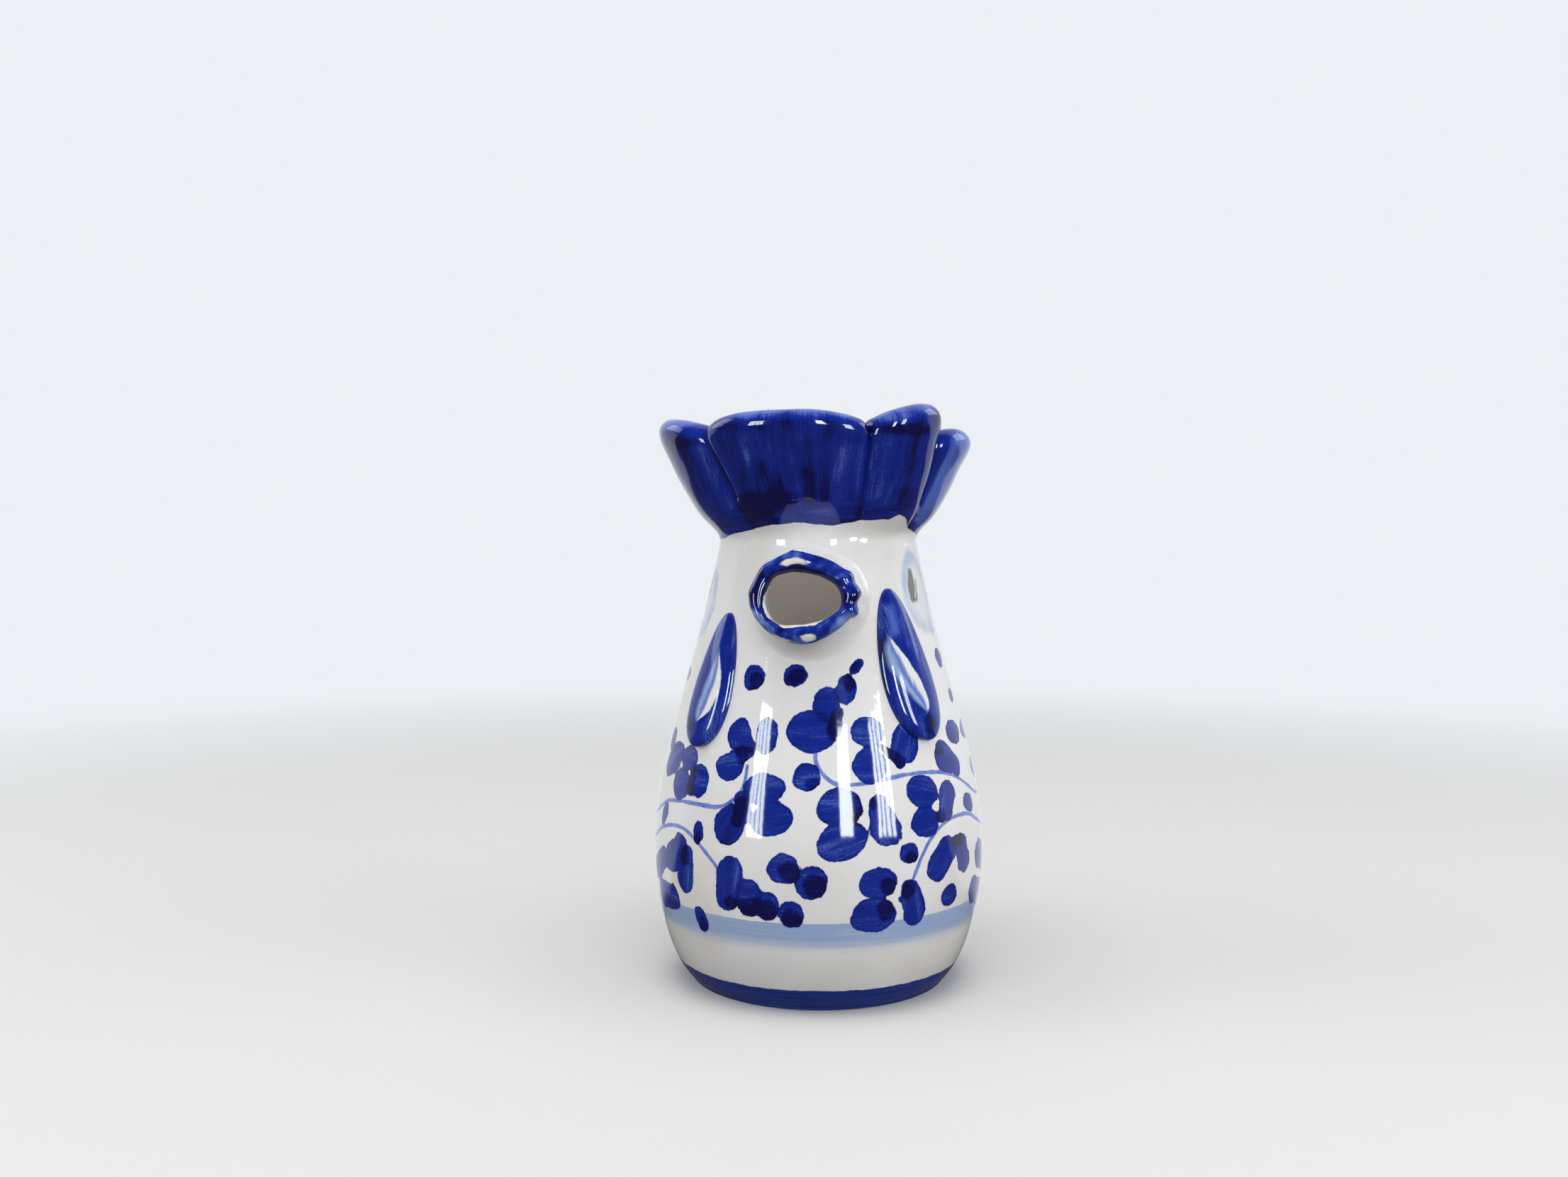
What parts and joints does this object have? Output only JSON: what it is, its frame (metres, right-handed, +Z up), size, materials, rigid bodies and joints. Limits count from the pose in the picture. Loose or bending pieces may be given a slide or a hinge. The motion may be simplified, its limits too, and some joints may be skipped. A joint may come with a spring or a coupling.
{
  "type": "milk jug",
  "caption": "Rooster-shaped glazed earthenware milk jug: pear-shaped body, beak as pouring spout, scalloped comb round the mouth, raised wattles and a loop handle behind",
  "frame": {"origin": "the middle of the flat resting face under the foot, on the axis of the turned body", "axes": "+Z up along the axis of the body; the beak spout faces -Y and the handle is at +Y; +X is on the right of someone looking at the beak"},
  "size_m": [0.0896, 0.1207, 0.153],
  "materials": {
    "foot_glaze": "glossy cobalt-blue painted band under clear glaze",
    "body_glaze": "glossy white glaze with brushed cobalt leaves, dots and tendrils",
    "spout_glaze": "glossy white glaze with a brushed cobalt lip",
    "comb_glaze": "glossy streaky cobalt-blue brushwork under clear glaze",
    "wattle_glaze": "glossy cobalt-blue border round a pale leaf-shaped middle",
    "handle_glaze": "glossy white glaze with cobalt brush strokes"
  },
  "bodies": {
    "root": {"base_slab": "foot_glaze", "body_wall": "body_glaze", "beak_spout": "spout_glaze", "comb_lobe_front": "comb_glaze", "comb_lobe_right": "comb_glaze", "comb_lobe_far_right": "comb_glaze", "comb_lobe_back_right": "comb_glaze", "comb_lobe_back_left": "comb_glaze", "comb_lobe_left": "comb_glaze", "wattle_right": "wattle_glaze", "wattle_left": "wattle_glaze", "handle": "handle_glaze"}
  },
  "joints": []
}
